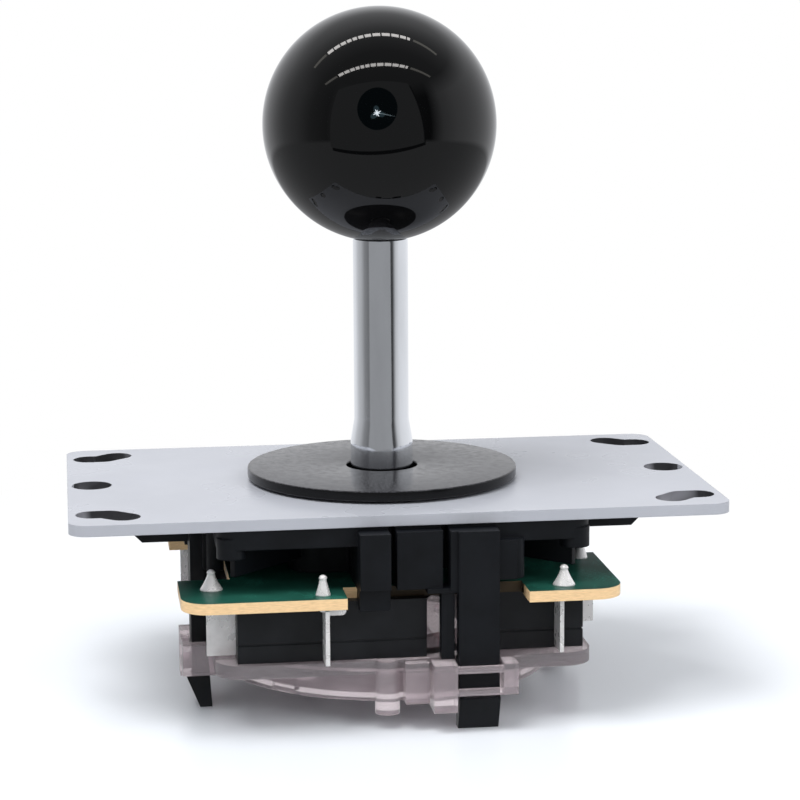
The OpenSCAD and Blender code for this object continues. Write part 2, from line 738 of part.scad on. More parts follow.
ball_top();
shaft();
pivot_ball();
actuator();
retaining_clip();
centering_spring();
dust_washer();
slip_disc();
mounting_plate();
plate_screws();
housing();
circuit_board();
solder_joints();
rotate(FRONT) switch_case();  // switch_case_front
rotate(RIGHT) switch_case();  // switch_case_right
rotate(BACK) switch_case();  // switch_case_back
rotate(LEFT) switch_case();  // switch_case_left
rotate(FRONT) switch_button();  // switch_button_front
rotate(RIGHT) switch_button();  // switch_button_right
rotate(BACK) switch_button();  // switch_button_back
rotate(LEFT) switch_button();  // switch_button_left
rotate(FRONT) terminals();  // terminals_front
rotate(RIGHT) terminals();  // terminals_right
rotate(BACK) terminals();  // terminals_back
rotate(LEFT) terminals();  // terminals_left
connector_header();
connector_pins();
gate_base();
gate_restrictor();
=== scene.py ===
"""Ball-top joystick lever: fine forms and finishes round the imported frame, in metres."""

import math

import bmesh
import bpy
import numpy as np
from mathutils import Matrix, Vector


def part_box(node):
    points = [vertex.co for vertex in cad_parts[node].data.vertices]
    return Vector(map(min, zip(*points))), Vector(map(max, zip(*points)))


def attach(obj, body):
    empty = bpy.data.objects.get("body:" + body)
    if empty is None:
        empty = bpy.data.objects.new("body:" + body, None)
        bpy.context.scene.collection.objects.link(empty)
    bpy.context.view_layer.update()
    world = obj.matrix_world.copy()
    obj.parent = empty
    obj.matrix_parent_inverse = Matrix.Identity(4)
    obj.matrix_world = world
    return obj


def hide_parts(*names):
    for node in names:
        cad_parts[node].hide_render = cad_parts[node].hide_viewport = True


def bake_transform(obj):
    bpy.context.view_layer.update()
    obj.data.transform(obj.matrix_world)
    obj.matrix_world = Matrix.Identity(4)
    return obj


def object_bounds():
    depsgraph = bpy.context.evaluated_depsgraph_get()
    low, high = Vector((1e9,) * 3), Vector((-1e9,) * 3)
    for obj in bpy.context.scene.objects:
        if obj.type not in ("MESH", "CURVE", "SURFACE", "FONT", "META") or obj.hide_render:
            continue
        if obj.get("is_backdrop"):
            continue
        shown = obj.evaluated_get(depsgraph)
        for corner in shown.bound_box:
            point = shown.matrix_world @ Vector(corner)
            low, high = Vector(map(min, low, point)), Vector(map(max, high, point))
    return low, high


bl_info = {
    "name": "Ball-top joystick lever",
    "version": (1, 0, 0),
    "blender": (4, 5, 0),
    "location": "3D View > Sidebar > Lever",
    "description": "Builds the surfaces and finishes of a ball-top joystick lever",
    "category": "Add Mesh",
}

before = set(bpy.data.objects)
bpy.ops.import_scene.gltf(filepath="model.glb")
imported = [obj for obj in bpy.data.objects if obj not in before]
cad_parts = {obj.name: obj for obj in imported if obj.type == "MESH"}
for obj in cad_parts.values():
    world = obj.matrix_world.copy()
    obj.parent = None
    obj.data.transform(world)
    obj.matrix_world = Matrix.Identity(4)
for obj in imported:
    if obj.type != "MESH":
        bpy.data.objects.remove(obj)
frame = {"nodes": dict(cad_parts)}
CAD_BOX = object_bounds()

MM = 0.001
SIDES = ("front", "right", "back", "left")

# Depth of the plate's rim that keeps the light paint colour. Upright faces further in are walls of
# holes, which get painted shade
PLATE_RIM = 1.0 * MM
# Cut board edges nearer to the axis than this lie in shade, apart from those left of the tab's end
BOARD_RIM_REACH = 26.5 * MM
BOARD_TAB_END = -6.9 * MM
# Points of the spring's path in each turn, and the share of the wire's radius that is drawn, so
# that closed turns don't cut into each other
ROWS_A_TURN = 48
WIRE_SHRINK = 0.98


def box_of(node):
    """Lowest and highest corner of a CAD node as numpy arrays."""
    low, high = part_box(node)
    return np.array(low), np.array(high)


BALL_LOW, BALL_HIGH = box_of("ball_top")
SHAFT_LOW, SHAFT_HIGH = box_of("shaft")
WASHER_LOW, WASHER_HIGH = box_of("dust_washer")
SLIP_LOW, SLIP_HIGH = box_of("slip_disc")
PLATE_HIGH = box_of("mounting_plate")[1]
SPRING_LOW, SPRING_HIGH = box_of("centering_spring")
BALL_R = (BALL_HIGH[0] - BALL_LOW[0]) / 2
BALL_Z = BALL_HIGH[2] - BALL_R


class LeverSizes(bpy.types.PropertyGroup):
    """Sizes of the fine forms that the frame doesn't state."""

    ball_seat_radius: bpy.props.FloatProperty(
        name="Ball seat", description="Radius of the flat under the ball",
        default=4.6 * MM, subtype="DISTANCE", unit="LENGTH")
    stud_radius: bpy.props.FloatProperty(
        name="Stud", description="Radius of the stud inside the ball",
        default=3.0 * MM, subtype="DISTANCE", unit="LENGTH")
    stud_length: bpy.props.FloatProperty(
        name="Stud length", description="Length of the stud inside the ball",
        default=12.0 * MM, subtype="DISTANCE", unit="LENGTH")
    stud_room: bpy.props.FloatProperty(
        name="Stud room", description="Gap over the stud's end inside the ball",
        default=0.1 * MM, subtype="DISTANCE", unit="LENGTH")
    ball_round: bpy.props.FloatProperty(
        name="Ball round", description="Rounding of the edges under the ball",
        default=0.3 * MM, subtype="DISTANCE", unit="LENGTH")
    shaft_radius: bpy.props.FloatProperty(
        name="Shaft", description="Radius of the shaft below the ball",
        default=4.15 * MM, subtype="DISTANCE", unit="LENGTH")
    shaft_foot_top: bpy.props.FloatProperty(
        name="Foot top", description="Height where the thick foot starts to narrow",
        default=5.5 * MM, subtype="DISTANCE", unit="LENGTH")
    shaft_neck: bpy.props.FloatProperty(
        name="Neck", description="Height where the shaft has its thin radius",
        default=9.0 * MM, subtype="DISTANCE", unit="LENGTH")
    shoulder: bpy.props.FloatProperty(
        name="Shoulder", description="Height of the foot's lower face",
        default=-1.8 * MM, subtype="DISTANCE", unit="LENGTH")
    stem_radius: bpy.props.FloatProperty(
        name="Stem", description="Radius of the stem below the plate",
        default=3.0 * MM, subtype="DISTANCE", unit="LENGTH")
    shaft_round: bpy.props.FloatProperty(
        name="Shaft round", description="Rounding of the shaft's corners",
        default=0.4 * MM, subtype="DISTANCE", unit="LENGTH")
    groove_depth: bpy.props.FloatProperty(
        name="Groove", description="Depth of the clip's groove in the stem",
        default=0.7 * MM, subtype="DISTANCE", unit="LENGTH")
    washer_hole_radius: bpy.props.FloatProperty(
        name="Washer hole", description="Radius of the dust washer's hole",
        default=5.4 * MM, subtype="DISTANCE", unit="LENGTH")
    slip_hole_radius: bpy.props.FloatProperty(
        name="Slip disc hole", description="Radius of the slip disc's hole",
        default=7.0 * MM, subtype="DISTANCE", unit="LENGTH")
    edge_round: bpy.props.FloatProperty(
        name="Edge round", description="Rounding of turned and stamped edges",
        default=0.25 * MM, subtype="DISTANCE", unit="LENGTH")
    wire_radius: bpy.props.FloatProperty(
        name="Spring wire", description="Radius of the centering spring's wire",
        default=0.55 * MM, subtype="DISTANCE", unit="LENGTH")
    spring_turns: bpy.props.IntProperty(
        name="Spring turns", description="Open turns of the centering spring", default=5)
    spring_cut: bpy.props.FloatProperty(
        name="Spring cut", description="Share of the coil that bends with the lever, from below",
        default=0.75)
    bead_radius: bpy.props.FloatProperty(
        name="Solder bead", description="Largest radius of the bead on a solder joint",
        default=0.65 * MM, subtype="DISTANCE", unit="LENGTH")


class LeverColours(bpy.types.PropertyGroup):
    """Base colours of the finishes."""

    ball: bpy.props.FloatVectorProperty(
        name="Ball", description="Glossy black of the ball top",
        subtype="COLOR", default=(0.0006, 0.0007, 0.0008))
    chrome: bpy.props.FloatVectorProperty(
        name="Chrome", description="Plated shaft", subtype="COLOR", default=(0.80, 0.82, 0.85))
    washer: bpy.props.FloatVectorProperty(
        name="Washer", description="Dark dust washer",
        subtype="COLOR", default=(0.024, 0.024, 0.027))
    paint: bpy.props.FloatVectorProperty(
        name="Plate paint", description="Light cool grey paint of the plate",
        subtype="COLOR", default=(0.40, 0.412, 0.452))
    # Painted shade: this dark colour of the hole and slot walls stands for the shade inside them
    hole_wall_shade: bpy.props.FloatVectorProperty(
        name="Hole walls", description="Dark cut walls of the plate's holes and slots",
        subtype="COLOR", default=(0.03, 0.03, 0.033))
    black_plastic: bpy.props.FloatVectorProperty(
        name="Black plastic", description="Moulded housing and actuator",
        subtype="COLOR", default=(0.005, 0.006, 0.008))
    switch_plastic: bpy.props.FloatVectorProperty(
        name="Switch plastic", description="Black cases of the switches",
        subtype="COLOR", default=(0.008, 0.009, 0.011))
    board_green: bpy.props.FloatVectorProperty(
        name="Board lacquer", description="Dark green lacquer of the board",
        subtype="COLOR", default=(0.013, 0.074, 0.054))
    board_core: bpy.props.FloatVectorProperty(
        name="Board core", description="Pale cut edge of the board",
        subtype="COLOR", default=(0.80, 0.56, 0.31))
    tin: bpy.props.FloatVectorProperty(
        name="Tin", description="Solder and tinned blades",
        subtype="COLOR", default=(0.97, 0.95, 0.94))
    clear: bpy.props.FloatVectorProperty(
        name="Clear plastic", description="Faintly pink clear plastic of the gate",
        subtype="COLOR", default=(0.73, 0.655, 0.685))
    nylon: bpy.props.FloatVectorProperty(
        name="Nylon", description="Off-white pivot ball and plug socket",
        subtype="COLOR", default=(0.80, 0.77, 0.70))
    button: bpy.props.FloatVectorProperty(
        name="Switch buttons", description="Red buttons of the switches",
        subtype="COLOR", default=(0.45, 0.04, 0.03))
    brass: bpy.props.FloatVectorProperty(
        name="Brass", description="Pins of the plug socket",
        subtype="COLOR", default=(0.78, 0.60, 0.30))


def sizes():
    return bpy.context.scene.lever_sizes


def colours():
    return bpy.context.scene.lever_colours


def surface_object(name, points, close_rows=False, close_columns=True):
    """Makes a mesh from a grid of points. Row i, column j is joined to row i + 1 and column j + 1,
    and the last row or column to the first one where that direction is closed."""
    rows, columns = points.shape[:2]
    index = np.arange(rows * columns).reshape(rows, columns)
    if close_rows:
        index = np.vstack([index, index[:1]])
    if close_columns:
        index = np.hstack([index, index[:, :1]])
    quads = np.stack([index[:-1, :-1], index[:-1, 1:], index[1:, 1:], index[1:, :-1]], axis=-1)
    mesh = bpy.data.meshes.new(name)
    mesh.from_pydata(points.reshape(-1, 3).tolist(), [], quads.reshape(-1, 4).tolist())
    return finish_mesh(name, mesh)


def finish_mesh(name, mesh):
    """Merges points that fall together, as at a pole, closes open rims, turns the faces outwards
    and shades them smoothly."""
    work = bmesh.new()
    work.from_mesh(mesh)
    bmesh.ops.remove_doubles(work, verts=work.verts, dist=1e-7)
    bmesh.ops.dissolve_degenerate(work, dist=1e-8, edges=work.edges)
    rims = [e for e in work.edges if e.is_boundary]
    if rims:
        bmesh.ops.holes_fill(work, edges=rims, sides=0)
    bmesh.ops.recalc_face_normals(work, faces=work.faces)
    work.to_mesh(mesh)
    work.free()
    mesh.shade_smooth()
    piece = bpy.data.objects.new(name, mesh)
    bpy.context.scene.collection.objects.link(piece)
    return piece


def rounded(corners, radius, steps=5):
    """Softens each inner corner of an open outline: a quadratic curve from the point at `radius`
    before the corner to the point at `radius` after it, with the corner as its control point."""
    p = np.array(corners, float)
    before, corner, after = p[:-2], p[1:-1], p[2:]
    reach_a = np.linalg.norm(before - corner, axis=1, keepdims=True)
    reach_b = np.linalg.norm(after - corner, axis=1, keepdims=True)
    cut = np.minimum(radius, 0.45 * np.minimum(reach_a, reach_b))
    start = corner + (before - corner) / reach_a * cut
    end = corner + (after - corner) / reach_b * cut
    s = np.linspace(0, 1, steps)[None, :, None]
    curve = (1 - s) ** 2 * start[:, None] + 2 * s * (1 - s) * corner[:, None] + s**2 * end[:, None]
    return np.vstack([p[:1], curve.reshape(-1, 2), p[-1:]])


def revolved_points(profile, turns, centre=(0.0, 0.0)):
    """A profile of (radius, height) turned about the vertical line through centre:
    x = cx + r cos a, y = cy + r sin a, z = h, with a from 0 to a full turn."""
    angle = np.linspace(0, 2 * np.pi, turns, endpoint=False)
    radius, height = profile[:, 0][:, None], profile[:, 1][:, None]
    x = centre[0] + radius * np.cos(angle)
    y = centre[1] + radius * np.sin(angle)
    return np.stack([x, y, np.broadcast_to(height, x.shape)], axis=-1)


def revolve(name, profile, turns=160, centre=(0.0, 0.0)):
    """Turns a profile whose ends lie on the axis or meet each other."""
    return surface_object(name, revolved_points(np.array(profile), turns, centre))


def tube_points(path, radius, sides):
    """A tube round a path: at each point a circle in the plane of the path's normal n and
    binormal b, p + radius (n cos a + b sin a), with the tangent t from neighbouring points,
    b = t x up made unit and n = b x t."""
    tangent = np.gradient(path, axis=0)
    tangent /= np.linalg.norm(tangent, axis=1, keepdims=True)
    binormal = np.cross(tangent, np.array([0.0, 0.0, 1.0]))
    binormal /= np.linalg.norm(binormal, axis=1, keepdims=True)
    normal = np.cross(binormal, tangent)
    angle = np.linspace(0, 2 * np.pi, sides, endpoint=False)[None, :, None]
    circle = normal[:, None] * np.cos(angle) + binormal[:, None] * np.sin(angle)
    return path[:, None] + radius * circle


def arc(centre, radius, start, stop, steps):
    """Points centre + radius (cos a, sin a) for angles from start to stop, in degrees."""
    angle = np.radians(np.linspace(start, stop, steps))
    return np.array(centre) + radius * np.stack([np.cos(angle), np.sin(angle)], axis=-1)


def dress(piece, material, body=None, stands_for=()):
    """Gives a piece its finish, and where it is new also its body, CAD nodes and material slot."""
    piece.data.materials.clear()
    piece.data.materials.append(material)
    if body:
        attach(piece, body)
        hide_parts(*stands_for)
    return piece


def shade(colour, share):
    """The colour times share, with no channel above 1."""
    return tuple(min(1, channel * share) for channel in colour)


class Finish:
    """A procedural material: a Principled shader with patterns on Object coordinates."""

    def __init__(self, name, colour, roughness, metallic=0.0, **sockets):
        self.material = bpy.data.materials.new(name)
        self.material.use_nodes = True
        self.nodes = self.material.node_tree.nodes
        self.links = self.material.node_tree.links
        self.shader = self.nodes["Principled BSDF"]
        self.colour = tuple(colour)
        self.shader.inputs["Base Color"].default_value = (*self.colour, 1)
        self.shader.inputs["Roughness"].default_value = roughness
        self.shader.inputs["Metallic"].default_value = metallic
        for key, value in sockets.items():
            socket = key.replace("_", " ").title().replace("Ior", "IOR")
            self.shader.inputs[socket].default_value = value
        self.place = self.nodes.new("ShaderNodeTexCoord").outputs["Object"]

    def noise(self, per_metre, stretch=(1, 1, 1), detail=3.0, rough=0.55):
        """Noise in Object coordinates, with that many cells to the metre."""
        mapping = self.nodes.new("ShaderNodeMapping")
        mapping.inputs["Scale"].default_value = stretch
        self.links.new(self.place, mapping.inputs["Vector"])
        noise = self.nodes.new("ShaderNodeTexNoise")
        noise.inputs["Scale"].default_value = per_metre
        noise.inputs["Detail"].default_value = detail
        noise.inputs["Roughness"].default_value = rough
        self.links.new(mapping.outputs["Vector"], noise.inputs["Vector"])
        return noise.outputs["Fac"]

    def spread(self, value, low, high, start=0.35, stop=0.65):
        """Maps noise between start and stop to low and high."""
        node = self.nodes.new("ShaderNodeMapRange")
        ends = {"From Min": start, "From Max": stop, "To Min": low, "To Max": high}
        for socket, number in ends.items():
            node.inputs[socket].default_value = number
        self.links.new(value, node.inputs["Value"])
        return node.outputs["Result"]

    def mix(self, factor, first, second):
        """Mixes two colours, each a tuple or a socket, by a socket."""
        node = self.nodes.new("ShaderNodeMix")
        node.data_type = "RGBA"
        self.links.new(factor, node.inputs["Factor"])
        for socket, value in ((node.inputs[6], first), (node.inputs[7], second)):
            if isinstance(value, tuple):
                socket.default_value = (*value, 1)
            else:
                self.links.new(value, socket)
        return node.outputs[2]

    def shades(self, factor, dark, light, colour=None):
        """Mixes a dark and a light share of a colour, which is the finish's own unless given."""
        colour = colour or self.colour
        return self.mix(factor, shade(colour, dark), shade(colour, light))

    def mottle(self, per_metre, dark, light, **pattern):
        """Varies the base colour between dark and light shares of itself."""
        share = self.spread(self.noise(per_metre, **pattern), 0, 1)
        return self.colour_from(self.shades(share, dark, light))

    def vary_roughness(self, per_metre, low, high, **pattern):
        value = self.spread(self.noise(per_metre, **pattern), low, high)
        self.links.new(value, self.shader.inputs["Roughness"])
        return self

    def relief(self, per_metre, height, edge=0.0, **pattern):
        """Bump from noise, on edges that the Bevel node softens by `edge` metres."""
        bump = self.nodes.new("ShaderNodeBump")
        bump.inputs["Strength"].default_value = 1.0
        bump.inputs["Distance"].default_value = height
        self.links.new(self.noise(per_metre, **pattern), bump.inputs["Height"])
        if edge:
            bevel = self.nodes.new("ShaderNodeBevel")
            bevel.samples = 4
            bevel.inputs["Radius"].default_value = edge
            self.links.new(bevel.outputs["Normal"], bump.inputs["Normal"])
        self.links.new(bump.outputs["Normal"], self.shader.inputs["Normal"])
        return self

    def math(self, operation, first, second=0.0):
        """One Math node. Its inputs are sockets or numbers."""
        node = self.nodes.new("ShaderNodeMath")
        node.operation = operation
        for socket, value in zip(node.inputs, (first, second)):
            if isinstance(value, (int, float)):
                socket.default_value = value
            else:
                self.links.new(value, socket)
        return node.outputs["Value"]

    def axes(self, vector):
        """The X, Y and Z sockets of a vector."""
        split = self.nodes.new("ShaderNodeSeparateXYZ")
        self.links.new(vector, split.inputs["Vector"])
        return split.outputs

    def levelness(self):
        """1 on level faces and 0 on upright ones."""
        facing = self.nodes.new("ShaderNodeNewGeometry").outputs["True Normal"]
        return self.spread(self.math("ABSOLUTE", self.axes(facing)["Z"]), 0, 1, 0.4, 0.6)

    def upright(self):
        """1 on upright faces and 0 on level ones."""
        return self.math("SUBTRACT", 1.0, self.levelness())

    def colour_from(self, socket):
        self.links.new(socket, self.shader.inputs["Base Color"])
        return self


def gloss_black():
    finish = Finish("ball_gloss_black", colours().ball, 0.03, specular_ior_level=0.42)
    return finish.vary_roughness(60, 0.02, 0.05).relief(180, 0.0015 * MM).material


def chrome_plate():
    finish = Finish("chrome_plate", colours().chrome, 0.08, metallic=1.0)
    finish.mottle(300, 0.96, 1.04, stretch=(1, 1, 0.2))
    finish.vary_roughness(500, 0.05, 0.12, stretch=(1, 1, 0.25))
    return finish.relief(1400, 0.002 * MM).material


def washer_grey():
    """Dark plastic whose level face is specked and glossy, and whose upright rim gets painted
    shade: a darker copy of its colour.
    """
    finish = Finish("washer_grey", colours().washer, 0.2, specular_ior_level=0.24)
    specks = finish.spread(finish.noise(2600, detail=5.0), 0, 1, 0.42, 0.7)
    face = finish.shades(specks, 0.5, 3.2)
    # Painted shade: upright faces take 0.15 of the colour, level faces take the specks
    finish.colour_from(finish.mix(finish.levelness(), shade(finish.colour, 0.15), face))
    return finish.vary_roughness(900, 0.14, 0.26).relief(2600, 0.006 * MM).material


def plate_paint():
    """Light paint. The walls of the holes and slots, away from the plate's rim, get painted shade:
    a dark colour with uneven lighter patches.
    """
    finish = Finish("plate_paint", colours().paint, 0.3, specular_ior_level=0.2)
    place = finish.axes(finish.place)
    inside = [
        finish.math("LESS_THAN", finish.math("ABSOLUTE", place[axis]), reach - PLATE_RIM)
        for axis, reach in (("X", PLATE_HIGH[0]), ("Y", PLATE_HIGH[1]))
    ]
    # Painted shade on the hole walls: the dark wall colour, lightened up to 7 times in uneven noise
    # patches
    wall = finish.math("MULTIPLY", finish.math("MULTIPLY", *inside), finish.upright())
    cloud = finish.shades(finish.spread(finish.noise(35), 0, 1), 0.97, 1.03)
    patches = finish.spread(finish.noise(130, detail=1.0), 0, 1, 0.5, 0.62)
    hole_shade = finish.shades(patches, 1, 7, tuple(colours().hole_wall_shade))
    finish.colour_from(finish.mix(wall, cloud, hole_shade))
    return finish.vary_roughness(60, 0.26, 0.34).relief(300, 0.0006 * MM, edge=0.2 * MM).material


def moulded_black():
    finish = Finish("moulded_black", colours().black_plastic, 0.45, specular_ior_level=0.25)
    finish.mottle(120, 0.8, 1.35)
    return finish.vary_roughness(300, 0.38, 0.55).relief(2400, 0.006 * MM, edge=0.3 * MM).material


def switch_black():
    finish = Finish("switch_black", colours().switch_plastic, 0.4, specular_ior_level=0.35)
    finish.mottle(150, 0.8, 1.3)
    return finish.vary_roughness(400, 0.34, 0.48).relief(3000, 0.005 * MM, edge=0.25 * MM).material


def board_laminate():
    """Green lacquer with paler ribbons over the copper, on a pale core that shows at the cut edge.
    The cut walls further in, away from the board's rim, lie in shade and are dark."""
    finish = Finish("board_laminate", colours().board_green, 0.3, specular_ior_level=0.15)
    core = tuple(colours().board_core)
    grain = finish.spread(finish.noise(900, stretch=(1, 1, 6), detail=4.0), 0, 1)
    side = finish.shades(grain, 0.88, 1.06, core)
    flat = finish.shades(finish.spread(finish.noise(160), 0, 1), 0.7, 1.2)
    wave = finish.nodes.new("ShaderNodeTexWave")
    wave.bands_direction = "DIAGONAL"
    for socket, value in {"Scale": 55, "Distortion": 5, "Detail": 1, "Detail Scale": 60}.items():
        wave.inputs[socket].default_value = value
    finish.links.new(finish.place, wave.inputs["Vector"])
    ribbon = finish.spread(wave.outputs["Fac"], 0, 1, 0.9, 0.94)
    gaps = finish.spread(finish.noise(110, detail=1.0), 0, 1, 0.48, 0.52)
    copper = finish.math("MULTIPLY", ribbon, gaps)
    traces = finish.mix(copper, flat, shade(finish.colour, 2.4))
    place = finish.axes(finish.place)
    reach = finish.math("MAXIMUM", *(finish.math("ABSOLUTE", place[axis]) for axis in ("X", "Y")))
    away_from_rim = finish.math("LESS_THAN", reach, BOARD_RIM_REACH)
    past_lit_tab = finish.math("SUBTRACT", 1.0, finish.math("LESS_THAN", place["X"], BOARD_TAB_END))
    inner = finish.math("MULTIPLY", away_from_rim, past_lit_tab)
    cut = finish.mix(inner, side, shade(core, 0.06))
    finish.colour_from(finish.mix(finish.levelness(), cut, traces))
    return finish.relief(1200, 0.003 * MM).material


def bright_tin():
    finish = Finish("bright_tin", colours().tin, 0.3, metallic=0.5)
    finish.mottle(600, 0.92, 1.03)
    return finish.vary_roughness(500, 0.24, 0.36).relief(1500, 0.002 * MM, edge=0.08 * MM).material


def spring_steel():
    finish = Finish("spring_steel", shade(colours().tin, 0.75), 0.3, metallic=1.0)
    return finish.vary_roughness(900, 0.22, 0.4).relief(3500, 0.004 * MM, edge=0.1 * MM).material


def clear_plastic():
    """Clear plastic that scatters a part of the light, so that thick walls look milky."""
    finish = Finish("clear_plastic", colours().clear, 0.16, ior=1.4, transmission_weight=0.78)
    finish.mottle(120, 0.95, 1.03).vary_roughness(350, 0.12, 0.24)
    return finish.relief(900, 0.006 * MM, edge=0.25 * MM).material


def nylon():
    finish = Finish("nylon", colours().nylon, 0.4, subsurface_weight=0.05)
    return finish.mottle(250, 0.95, 1.04).relief(1800, 0.006 * MM, edge=0.15 * MM).material


def red_plastic():
    finish = Finish("red_plastic", colours().button, 0.35)
    return finish.mottle(400, 0.9, 1.1).relief(2000, 0.004 * MM, edge=0.15 * MM).material


def pin_brass():
    finish = Finish("pin_brass", colours().brass, 0.25, metallic=1.0)
    return finish.mottle(900, 0.9, 1.05).relief(2500, 0.004 * MM, edge=0.08 * MM).material


class LEVER_OT_ball_top(bpy.types.Operator):
    """Builds the ball: a turned arc of a circle, a small flat under it and the stud's hole"""

    bl_idname = "lever.ball_top"
    bl_label = "Ball top"

    def execute(self, context):
        s = sizes()
        seat_z = BALL_LOW[2]
        seat_turn = math.degrees(math.acos(s.ball_seat_radius / BALL_R))
        side = arc((0, BALL_Z), BALL_R, 90, -seat_turn, 120)
        side[0, 0] = 0
        hole_top = seat_z + s.stud_length + s.stud_room
        hole = [side[-1], (s.stud_radius, seat_z), (s.stud_radius, hole_top), (0, hole_top)]
        ball = revolve("ball", np.vstack([side, rounded(hole, s.ball_round)[1:]]))
        dress(ball, gloss_black(), "lever", ["ball_top"])
        return {"FINISHED"}


class LEVER_OT_shaft(bpy.types.Operator):
    """Builds the shaft: a turned outline with softened corners, foot, stem and clip groove"""

    bl_idname = "lever.shaft"
    bl_label = "Shaft"

    def execute(self, context):
        s = sizes()
        clip_low, clip_high = (corner[2] for corner in box_of("retaining_clip"))
        foot_r = SHAFT_HIGH[0]
        groove_r = s.stem_radius - s.groove_depth
        seat_z = BALL_LOW[2]
        corners = [
            (0, SHAFT_LOW[2]), (s.stem_radius, SHAFT_LOW[2]), (s.stem_radius, clip_low),
            (groove_r, clip_low), (groove_r, clip_high), (s.stem_radius, clip_high),
            (s.stem_radius, s.shoulder), (foot_r, s.shoulder), (foot_r, s.shaft_foot_top),
            (s.shaft_radius, s.shaft_neck), (s.shaft_radius, seat_z), (s.stud_radius, seat_z),
            (s.stud_radius, SHAFT_HIGH[2]), (0, SHAFT_HIGH[2]),
        ]
        shaft = revolve("lever_shaft", rounded(corners, s.shaft_round), turns=120)
        dress(shaft, chrome_plate(), "lever", ["shaft"])
        return {"FINISHED"}


class LEVER_OT_washers(bpy.types.Operator):
    """Builds the dust washer and the slip disc: turned flat rings with rounded edges"""

    bl_idname = "lever.washers"
    bl_label = "Washers"

    def execute(self, context):
        s = sizes()
        rings = (
            ("washer_ring", WASHER_LOW, WASHER_HIGH, s.washer_hole_radius, "dust_washer"),
            ("slip_ring", SLIP_LOW, SLIP_HIGH, s.slip_hole_radius, "slip_disc"),
        )
        for name, low, high, hole, node in rings:
            mid = (hole + high[0]) / 2
            corners = [(mid, low[2]), (high[0], low[2]), (high[0], high[2]), (hole, high[2]),
                       (hole, low[2]), (mid, low[2])]
            outline = rounded(corners, s.edge_round)[:-1]
            ring = surface_object(name, revolved_points(outline, 200), close_rows=True)
            dress(ring, washer_grey(), node, [node])
        return {"FINISHED"}


class LEVER_OT_frame_finishes(bpy.types.Operator):
    """Gives the CAD nodes that keep their own shape their finishes"""

    bl_idname = "lever.frame_finishes"
    bl_label = "Frame finishes"

    def execute(self, context):
        nodes = frame["nodes"]
        black, tin, clear = moulded_black(), bright_tin(), clear_plastic()
        switch, red = switch_black(), red_plastic()
        chosen = {
            "mounting_plate": plate_paint(), "plate_screws": tin,
            "housing": black, "actuator": black,
            "circuit_board": board_laminate(), "retaining_clip": spring_steel(),
            "gate_base": clear, "gate_restrictor": clear, "pivot_ball": nylon(),
            "connector_header": nylon(), "connector_pins": pin_brass(),
        }
        for side in SIDES:
            chosen["switch_case_" + side] = switch
            chosen["switch_button_" + side] = red
            chosen["terminals_" + side] = tin
        for node, material in chosen.items():
            dress(nodes[node], material)
        return {"FINISHED"}


class LEVER_OT_spring(bpy.types.Operator):
    """Builds the centering spring: a tube along a helix whose end turns lie closed. It is cut in
    two parts at the spring cut."""

    bl_idname = "lever.spring"
    bl_label = "Centering spring"

    def execute(self, context):
        s = sizes()
        turns = s.spring_turns + 2
        wire = s.wire_radius
        coil = SPRING_HIGH[0] - wire
        t = np.linspace(0, turns, turns * ROWS_A_TURN + 1)
        open_rise = SPRING_HIGH[2] - SPRING_LOW[2] - 6 * wire
        rise = np.interp(t, [0, 1, turns - 1, turns],
                         [0, 2 * wire, 2 * wire + open_rise, 4 * wire + open_rise])
        path = np.stack([coil * np.cos(2 * np.pi * t), coil * np.sin(2 * np.pi * t),
                         SPRING_LOW[2] + wire + rise], axis=-1)
        tube = tube_points(path, wire * WIRE_SHRINK, 16)
        cut = int(len(tube) * s.spring_cut)
        steel = spring_steel()
        parts = (
            ("spring_coil", tube[cut:], "frame", "spring", SPRING_HIGH, path[cut]),
            ("spring_coil_low", tube[:cut + 1], "spring", "lever", path[cut], SPRING_LOW),
        )
        for name, points, above, below, start, end in parts:
            part = dress(surface_object(name, points), steel)
            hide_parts("centering_spring")
            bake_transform(part)
        return {"FINISHED"}


def joint_places(node):
    """Centre, foot radius, top and foot height of each separate solid of a CAD node. Every place
    starts with its own label, and the two ends of each edge take the lower one of theirs until no
    label changes, so that each solid ends with one label."""
    mesh = frame["nodes"][node].data
    points = np.empty(3 * len(mesh.vertices))
    mesh.vertices.foreach_get("co", points)
    points = points.reshape(-1, 3)
    edges = np.empty(2 * len(mesh.edges), int)
    mesh.edges.foreach_get("vertices", edges)
    spots, spot_of = np.unique(points.round(6), axis=0, return_inverse=True)
    spot_of = spot_of.reshape(-1)
    first, second = spot_of[edges.reshape(-1, 2)].T
    labels, before = np.arange(len(spots)), None
    while before is None or (labels != before).any():
        before = labels.copy()
        lower = np.minimum(labels[first], labels[second])
        np.minimum.at(labels, first, lower)
        np.minimum.at(labels, second, lower)
    places = []
    for label in np.unique(labels):
        solid = points[labels[spot_of] == label]
        low, high = solid.min(0), solid.max(0)
        places.append(((low + high) / 2, (high[0] - low[0]) / 2, high[2], low[2]))
    return places


